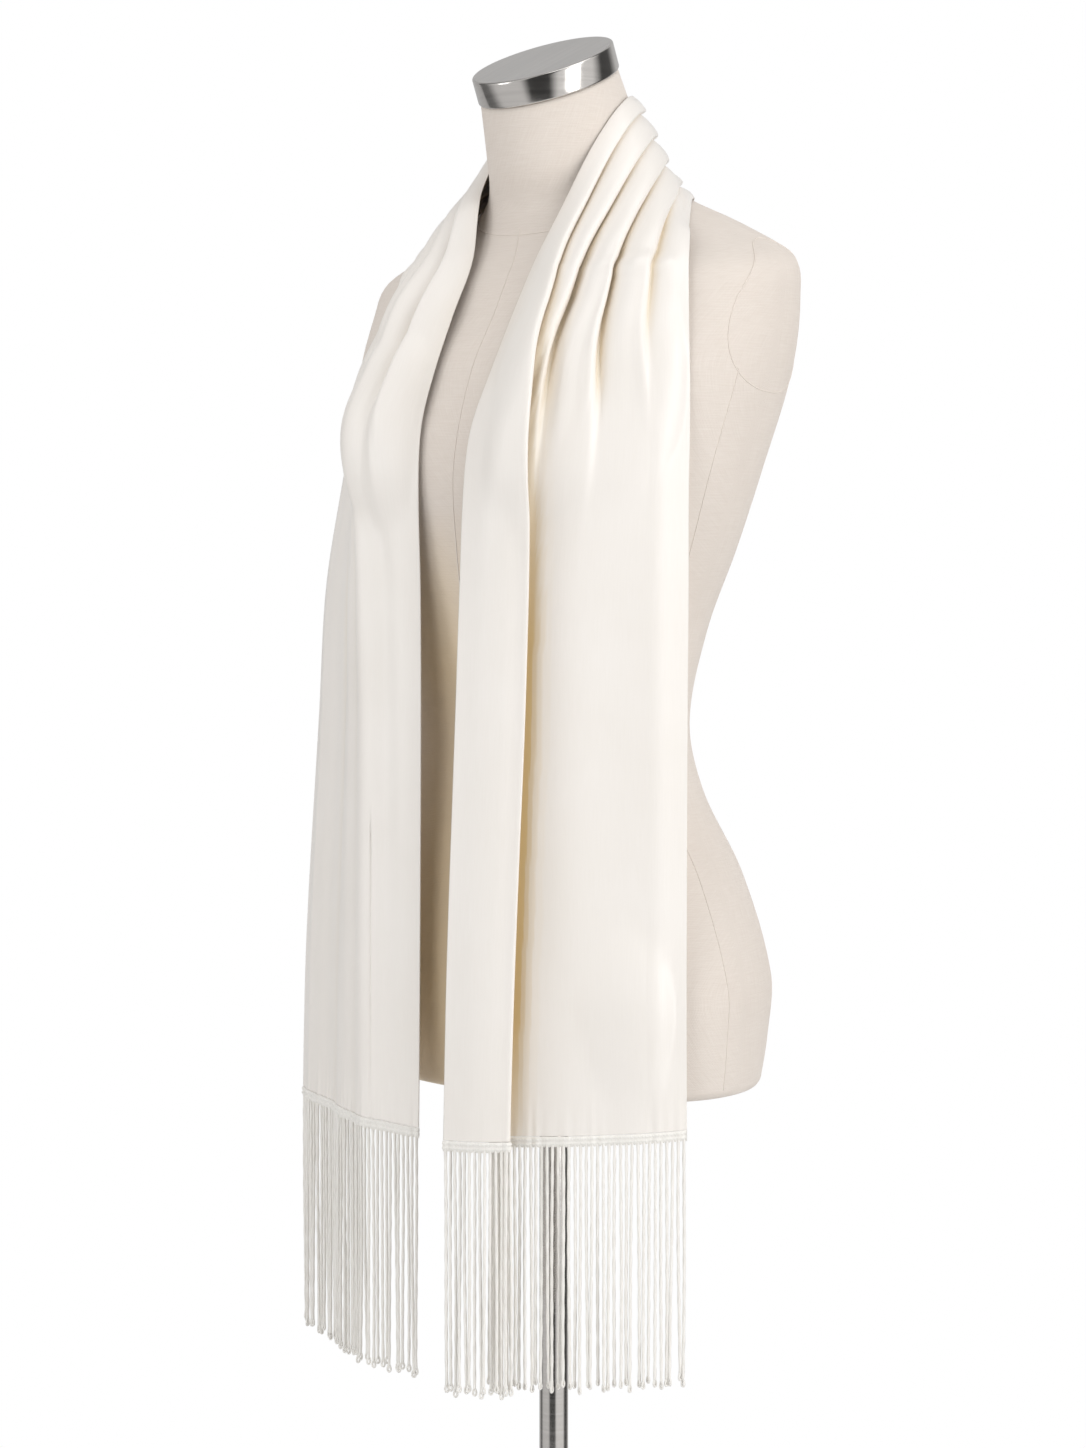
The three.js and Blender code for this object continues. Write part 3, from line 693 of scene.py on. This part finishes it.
def header_surface(station):
    """Header tape: a closed profile of two rolls carried along the hem, out by the hem's sideways normal
    and down; the rolls are notched by a twist and the lower edge is scalloped between the cords."""
    path, marks = hem_path(station, 0.6)
    tangent = unit(np.gradient(path, axis=0))
    out = unit(np.cross(tangent, (0, 0, 1)))
    depth = np.linspace(0, 1, 15)
    drop = HEADER_HEIGHT * (1 - np.cos(np.pi * depth)) / 2
    rolls = sum(bell(drop - roll, HEADER_ROLL_WIDTH) for roll in HEADER_ROLLS)
    ends = np.sqrt(np.clip(1 - (2 * depth - 1) ** 8, 0, 1))
    twist = 0.85 + 0.15 * np.cos(2 * np.pi * (marks[:, None] / 2.6 - drop[None] / 3.5))
    half = (HEADER_HALF_WALL + HEADER_ROLL * rolls * twist) * ends
    scallop = 1 + 0.13 * depth**6 * np.cos(2 * np.pi * marks[:, None] / STRAND_STEP)
    down = SEAM_GAP + drop * scallop
    outside = np.concatenate([half, -half[:, -2:0:-1]], 1)
    falling = np.concatenate([down, down[:, -2:0:-1]], 1)
    points = path[:, None] + out[:, None] * outside[..., None]
    points[..., 2] -= falling
    return points


def strand_roots(station):
    path, marks = hem_path(station, 0.2)
    count = int(round(marks[-1] / STRAND_STEP))
    spots = (np.arange(count) + 0.5) / count * marks[-1]
    roots = np.stack([np.interp(spots, marks, path[:, axis]) for axis in range(3)], -1)
    roots[:, 2] -= SEAM_GAP + HEADER_HEIGHT / 2
    return roots


def strand_surfaces(roots, side):
    """Cords: a two-lobed round section carried down each cord and turned once in every pitch, swaying
    more towards its end; and a small loop, a round wire on an ellipse, at each cord's end."""
    k = np.arange(len(roots))
    uneven = np.sin(LENGTH_WAVES[0] * k) * np.cos(LENGTH_WAVES[1] * k + side)
    length = STRAND_LENGTH + LENGTH_SPREAD * uneven
    body = length - 2 * LOOP_HALF_HEIGHT + LOOP_WIRE
    f = np.linspace(0, 1, STRAND_ROWS)
    fall = body[:, None] * f
    ripple_x = 0.25 * np.sin(5 * f + 2.3 * k[:, None])
    ripple_y = 0.25 * np.cos(4 * f + 1.7 * k[:, None])
    sway_x = STRAND_SWAY * (np.sin(1.9 * k + side)[:, None] * f**1.5 + ripple_x)
    sway_y = STRAND_SWAY * (np.cos(2.7 * k + side)[:, None] * f**1.5 + ripple_y)
    centre = np.stack([
        roots[:, :1] + sway_x - sway_x[:, :1],
        roots[:, 1:2] + sway_y - sway_y[:, :1],
        roots[:, 2:] - fall,
    ], -1)
    around = np.linspace(0, 2 * np.pi, STRAND_SIDES, endpoint=False)
    turn = 2 * np.pi * fall / TWIST_PITCH + 1.3 * k[:, None]
    radius = STRAND_RADIUS * (1 + TWIST_LOBE * np.cos(2 * (around - turn[..., None]))) / (1 + TWIST_LOBE)
    ring = np.stack([np.cos(around), np.sin(around), np.zeros(STRAND_SIDES)], -1)
    cords = centre[:, :, None] + ring * radius[..., None]
    round_loop = np.linspace(0, 2 * np.pi, 16, endpoint=False)
    facing = 0.9 * np.sin(3.1 * k) + math.radians(39)
    aside = np.stack([np.cos(facing), np.sin(facing), np.zeros(len(k))], -1)
    deep = np.stack([-np.sin(facing), np.cos(facing), np.zeros(len(k))], -1)
    up = np.array([0, 0, 1.0])
    loop_centre = centre[:, -1] - up * (LOOP_HALF_HEIGHT - LOOP_WIRE)
    wide = LOOP_HALF_WIDTH * np.sin(round_loop) * (1 - 0.35 * np.cos(round_loop))
    tall = LOOP_HALF_HEIGHT * np.cos(round_loop)
    spine = loop_centre[:, None] + aside[:, None] * wide[:, None] + up * tall[:, None]
    outward = aside[:, None] * np.sin(round_loop)[:, None] + up * np.cos(round_loop)[:, None]
    wire = np.linspace(0, 2 * np.pi, 6, endpoint=False)
    loops = (
        spine[:, :, None]
        + LOOP_WIRE * outward[:, :, None] * np.cos(wire)[:, None]
        + LOOP_WIRE * deep[:, None, None] * np.sin(wire)[:, None]
    )
    return cords, loops


def fringe_piece(name, station, side, node):
    header = header_surface(station)
    cords, loops = strand_surfaces(strand_roots(station), side)
    rows, columns = header.shape[:2]
    parts = [grid_faces(rows, columns, loop_columns=True)[:, ::side]]
    ends = [np.arange(columns)[None, ::side], (np.arange(columns) + (rows - 1) * columns)[None, ::-side]]
    start = rows * columns
    points = [header.reshape(-1, 3)]
    for surface, loop_rows in ((cords, False), (loops, True)):
        count, rows, columns = surface.shape[:3]
        faces = grid_faces(rows, columns, loop_rows, True)
        if not loop_rows:
            faces = faces[:, ::-1]
        offsets = start + np.arange(count) * rows * columns
        parts.append((faces[None] + offsets[:, None, None]).reshape(-1, 4))
        if not loop_rows:
            caps = np.stack([np.arange(columns), np.arange(columns)[::-1] + (rows - 1) * columns])
            parts.append((caps[None] + offsets[:, None, None]).reshape(-1, columns))
        points.append(surface.reshape(-1, 3))
        start += surface[..., 0].size
    return make_piece(name, np.concatenate(points), parts + ends, cord, None, (node,))


fringe_left = fringe_piece("fringe_cords_left", 0.0, 1, "fringe_left")
fringe_right = fringe_piece("fringe_cords_right", CLOTH_LENGTH, -1, "fringe_right")


# Dress form


def torso_surface():
    """Torso and neck: rings from a rounded lower edge up to the flat top of the neck, closed by shrinking
    rings below and above."""
    bend = np.linspace(0, np.pi / 2, 7)[:-1]
    low_heights = TORSO_EDGE_RADIUS * (1 - np.cos(bend))
    low_insets = TORSO_EDGE_RADIUS * (1 - np.sin(bend))
    heights = np.concatenate([low_heights, np.linspace(TORSO_EDGE_RADIUS, NECK_TOP, 190)])
    insets = np.concatenate([low_insets, np.zeros(190)])
    angle = np.linspace(0, 2 * np.pi, 144, endpoint=False)
    rings = torso_point(heights[:, None], angle[None, :], insets[:, None])
    bottom = rings[0].mean(0)
    top = rings[-1].mean(0)
    inwards = np.array([0.02, 0.35, 0.7])[:, None, None]
    floor = bottom + (rings[:1] - bottom) * inwards
    lid = top + (rings[-1:] - top) * inwards[::-1]
    points = np.concatenate([floor, rings, lid])
    girth = np.linalg.norm(np.diff(rings, axis=1, append=rings[:, :1]), axis=2)
    around = np.concatenate([np.zeros((len(rings), 1)), np.cumsum(girth, 1)[:, :-1]], 1)
    around = np.concatenate([around[:1]] * 3 + [around] + [around[-1:]] * 3)
    uv = np.stack([around, points[..., 2]], -1)
    return points, uv


def far_shade(points, cloth):
    """Warm shade beside the far panel: a bell over the distance to its cloth, fading out up the bust."""
    far = cloth[:, ::4].reshape(-1, 3)
    far = far[far[:, 0] < 0]
    tree = KDTree(len(far))
    for i, place in enumerate(far):
        tree.insert(place, i)
    tree.balance()
    reach = np.array([tree.find(place)[2] for place in points.reshape(-1, 3)])
    height = points[..., 2].ravel() - TORSO_BOTTOM
    return bell(reach, SHADE_REACH) * np.clip((SHADE_TOP - height) / (SHADE_TOP - SHADE_FULL), 0, 1)


points, uv = torso_surface()
rows, columns = points.shape[:2]
caps = [np.arange(columns)[None, ::-1], (np.arange(columns) + (rows - 1) * columns)[None, :]]
make_piece(
    "form_linen_torso", points, [grid_faces(rows, columns, loop_columns=True), *caps], linen, uv,
    ("form_torso",), far_shade(points, cloth_points),
)


WELT_RADIUS = 0.4
WELT_FLATNESS = 1.4


def welt(name, heights, angles, closed):
    """Sewn seam: a fine round welt, half sunk in the torso, along a line of heights and angles."""
    path = torso_point(heights, angles)
    tangent = np.gradient(path, axis=0)
    if closed:
        tangent = np.roll(path, -1, 0) - np.roll(path, 1, 0)
    tangent = unit(tangent)
    out = unit(path - np.array([0, 15, 0]) - path * np.array([0, 0, 1.0]))
    aside = unit(np.cross(tangent, out))
    out = np.cross(aside, tangent)
    around = np.linspace(0, 2 * np.pi, 8, endpoint=False)
    points = path[:, None] + WELT_RADIUS * (
        out[:, None] * np.cos(around)[:, None] + WELT_FLATNESS * aside[:, None] * np.sin(around)[:, None]
    )
    faces = [grid_faces(len(path), 8, closed, True)]
    if not closed:
        faces += [np.arange(8)[None, ::-1], (np.arange(8) + (len(path) - 1) * 8)[None, :]]
    return make_piece(name, points, faces, linen, None, ())


SEAM_STEPS = 240
NECK_SEAM_HEIGHT = 643
NECK_SEAM_RISE = 13
FRONT_SEAM_TOP = 648
BACK_SEAM_TOP = 668
climb = np.linspace(0, 1, SEAM_STEPS)
round_neck = np.linspace(0, 2 * np.pi, 200, endpoint=False)
welt("form_neck_seam", NECK_SEAM_HEIGHT + NECK_SEAM_RISE * (1 + np.sin(round_neck)), round_neck, True)
front_heights = TORSO_EDGE_RADIUS + (FRONT_SEAM_TOP - TORSO_EDGE_RADIUS) * climb
back_heights = TORSO_EDGE_RADIUS + (BACK_SEAM_TOP - TORSO_EDGE_RADIUS) * climb
welt("form_centre_front_seam", front_heights, np.full(SEAM_STEPS, -np.pi / 2), False)
welt("form_centre_back_seam", back_heights, np.full(SEAM_STEPS, np.pi / 2), False)
for side, name in ((1, "left"), (-1, "right")):
    front = np.radians(90 - side * 90) + side * np.radians(-8 - 6 * climb)
    welt(f"form_side_seam_{name}", TORSO_EDGE_RADIUS + 520 * climb, front, False)
    princess = -np.pi / 2 + side * np.radians(30 + 6 * np.sin(np.pi * climb))
    welt(f"form_princess_seam_{name}", TORSO_EDGE_RADIUS + 590 * climb, princess, False)
    back_panel = np.pi / 2 - side * np.radians(34 + 5 * np.sin(np.pi * climb))
    welt(f"form_back_seam_{name}", TORSO_EDGE_RADIUS + 600 * climb, back_panel, False)
    arm = np.linspace(0, 2 * np.pi, 160, endpoint=False)
    arm_angle = np.radians(90 - side * 90) + side * np.radians(4 + 26 * np.cos(arm))
    welt(f"form_armhole_seam_{name}", 563 + 52 * np.sin(arm), arm_angle, True)


def turned_piece(name, profile, material, node, tilt=0.0, place=(0, 0, 0)):
    """Turned solid: a profile of radius and height carried round an upright axis, leaned by tilt on X."""
    radius, height = np.array(profile, float).T
    around = np.linspace(0, 2 * np.pi, 128, endpoint=False)
    x = radius[:, None] * np.cos(around)
    y = radius[:, None] * np.sin(around)
    z = np.broadcast_to(height[:, None], x.shape)
    points = np.stack([
        x + place[0],
        y * math.cos(tilt) - z * math.sin(tilt) + place[1],
        y * math.sin(tilt) + z * math.cos(tilt) + place[2],
    ], -1)
    rows = len(profile)
    faces = [grid_faces(rows, 128, loop_columns=True)]
    if radius[0] > 0:
        faces += [np.arange(128)[None, ::-1], (np.arange(128) + (rows - 1) * 128)[None, :]]
    return make_piece(name, points, faces, material, None, (node,))


def rounded(radius, height, edge, steps=5):
    """Upper outer corner of a turned profile, rounded by a quarter circle of the edge's radius."""
    bend = np.linspace(0, np.pi / 2, steps)
    return [(radius - edge + edge * math.cos(b), height - edge + edge * math.sin(b)) for b in bend]


def disc_profile(radius, low, high, edge):
    lower = [(r, low + high - z) for r, z in rounded(radius, high, edge)][::-1]
    inside = [(0.02, low), (radius * 0.5, low), (radius - edge - 0.4, low)]
    top = [(radius - edge - 0.4, high), (radius * 0.5, high), (0.02, high)]
    return inside + lower + rounded(radius, high, edge) + top


cap = turned_piece(
    "neck_cap_steel", disc_profile(CAP_RADIUS, 0, CAP_HEIGHT, CAP_EDGE), polished, "form_neck_cap",
    NECK_TILT, (0, CAP_CENTRE_Y, TORSO_BOTTOM + CAP_CENTRE_HEIGHT),
)
cap.data.materials.append(brushed)
face_row = np.arange(len(cap.data.polygons)) // 128
cap.data.polygons.foreach_set("material_index", (face_row >= 12).astype(np.int32))
pole_foot = BASE_HEIGHT + SEAT_GAP
turned_piece(
    "pole_steel",
    [(0.02, pole_foot), (POLE_RADIUS, pole_foot), (POLE_RADIUS, pole_foot + 0.5), (POLE_RADIUS, 400),
     (POLE_RADIUS, TORSO_BOTTOM - 1), (POLE_RADIUS, TORSO_BOTTOM - SEAT_GAP),
     (0.02, TORSO_BOTTOM - SEAT_GAP)],
    polished, "form_pole",
)
turned_piece(
    "socket_steel",
    [(POLE_RADIUS + SEAT_GAP, pole_foot), (SOCKET_RADIUS, pole_foot), (SOCKET_RADIUS, pole_foot + 0.5)]
    + rounded(SOCKET_RADIUS, pole_foot + SOCKET_HEIGHT, BASE_EDGE)
    + [(SOCKET_RADIUS - 3, pole_foot + SOCKET_HEIGHT), (POLE_RADIUS + SEAT_GAP, pole_foot + SOCKET_HEIGHT)],
    polished, "form_socket",
)
turned_piece(
    "base_steel",
    [(0.02, 0), (100, 0), (BASE_RADIUS - BASE_EDGE - 0.5, 0), (BASE_RADIUS - BASE_EDGE, 0)]
    + [(BASE_RADIUS, BASE_EDGE), (BASE_RADIUS, BASE_RIM - BASE_EDGE)]
    + rounded(BASE_RADIUS, BASE_RIM, BASE_EDGE)[1:]
    + [(BASE_RADIUS - BASE_EDGE - 0.5, BASE_RIM), (110, 9),
       (SOCKET_RADIUS + BASE_EDGE, BASE_HEIGHT), (0.02, BASE_HEIGHT)],
    brushed, "form_base",
)


# Floor, light and camera


def floor_disc(radius):
    around = np.linspace(0, 2 * np.pi, 96, endpoint=False)
    points = np.stack([radius * np.cos(around), radius * np.sin(around), np.full(96, -0.0005)], -1)
    mesh = bpy.data.meshes.new("floor")
    mesh.from_pydata(points, [], [list(range(96))])
    floor = bpy.data.objects.new("floor", mesh)
    bpy.context.scene.collection.objects.link(floor)
    n = Nodes("floor_paint")
    n.set(Base_Color=(0.86, 0.86, 0.86, 1), Roughness=0.9)
    mesh.materials.append(n.material)


def softbox(name, turn, height, distance, size, power, mirrored=True):
    """Area light at a turn from the form's front, aimed at the bust."""
    light = bpy.data.lights.new(name, "AREA")
    light.shape = "RECTANGLE"
    light.size, light.size_y = size
    light.energy = power
    lamp = bpy.data.objects.new(name, light)
    place = Vector((distance * math.sin(turn), -distance * math.cos(turn), height))
    lamp.location = place
    lamp.rotation_euler = (Vector((0, 0, 1.15)) - place).to_track_quat("-Z", "Y").to_euler()
    lamp.visible_camera = False
    lamp.visible_glossy = mirrored
    bpy.context.scene.collection.objects.link(lamp)


def studio_world():
    """White to the camera; to the object, a pale room with a few darker upright bands for the steel."""
    world = bpy.data.worlds.new("studio")
    bpy.context.scene.world = world
    world.use_nodes = True
    tree = world.node_tree
    nodes = tree.nodes
    background = nodes["Background"]
    place = nodes.new("ShaderNodeTexCoord")
    split = nodes.new("ShaderNodeSeparateXYZ")
    turn = nodes.new("ShaderNodeMath")
    turn.operation = "ARCTAN2"
    share = nodes.new("ShaderNodeMapRange")
    share.inputs["From Min"].default_value = -math.pi
    share.inputs["From Max"].default_value = math.pi
    ramp = nodes.new("ShaderNodeValToRGB")
    stops = [
        (0, 0.15), (0.05, 0.2), (0.1, 0.72), (0.24, 0.75), (0.28, 0.06), (0.38, 0.06),
        (0.42, 0.95), (0.58, 0.95), (0.63, 0.08), (0.7, 0.1), (0.76, 0.65), (0.9, 0.55),
    ]
    while len(ramp.color_ramp.elements) < len(stops):
        ramp.color_ramp.elements.new(0.5)
    for element, (spot, grey) in zip(ramp.color_ramp.elements, stops):
        element.position = spot
        element.color = (grey, grey, grey, 1)
    path = nodes.new("ShaderNodeLightPath")
    mix = nodes.new("ShaderNodeMix")
    mix.data_type = "RGBA"
    tree.links.new(place.outputs["Generated"], split.inputs["Vector"])
    tree.links.new(split.outputs["Y"], turn.inputs[0])
    tree.links.new(split.outputs["X"], turn.inputs[1])
    tree.links.new(turn.outputs["Value"], share.inputs["Value"])
    tree.links.new(share.outputs["Result"], ramp.inputs["Fac"])
    tree.links.new(path.outputs["Is Camera Ray"], mix.inputs["Factor"])
    colour_inputs = [s for s in mix.inputs if s.type == "RGBA"]
    tree.links.new(ramp.outputs["Color"], colour_inputs[0])
    colour_inputs[1].default_value = (1, 1, 1, 1)
    tree.links.new([s for s in mix.outputs if s.type == "RGBA"][0], background.inputs["Color"])
    background.inputs["Strength"].default_value = 1.0


def photo_camera():
    camera = bpy.data.objects.new("camera", bpy.data.cameras.new("camera"))
    camera.data.lens = CAMERA_LENS
    camera.data.sensor_width = 36
    place = Vector((
        CAMERA_DISTANCE * math.sin(CAMERA_TURN),
        -CAMERA_DISTANCE * math.cos(CAMERA_TURN),
        CAMERA_HEIGHT,
    ))
    camera.location = place
    camera.rotation_euler = (Vector(CAMERA_AIM) - place).to_track_quat("-Z", "Y").to_euler()
    bpy.context.scene.collection.objects.link(camera)
    bpy.context.scene.camera = camera


bpy.context.scene.view_settings.view_transform = "Standard"
floor_disc(1.5)
softbox("key", math.radians(84), 1.4, 2.2, (0.9, 2.3), 18)
softbox("left", math.radians(-32), 1.6, 2.4, (0.8, 1.8), 9)
softbox("front", math.radians(8), 1.4, 2.8, (1.2, 1.8), 16, False)
softbox("back", math.radians(190), 1.7, 2.6, (1.2, 1.8), 12, False)
softbox("top", math.radians(60), 3.0, 0.8, (1.4, 1.4), 9)
studio_world()
photo_camera()
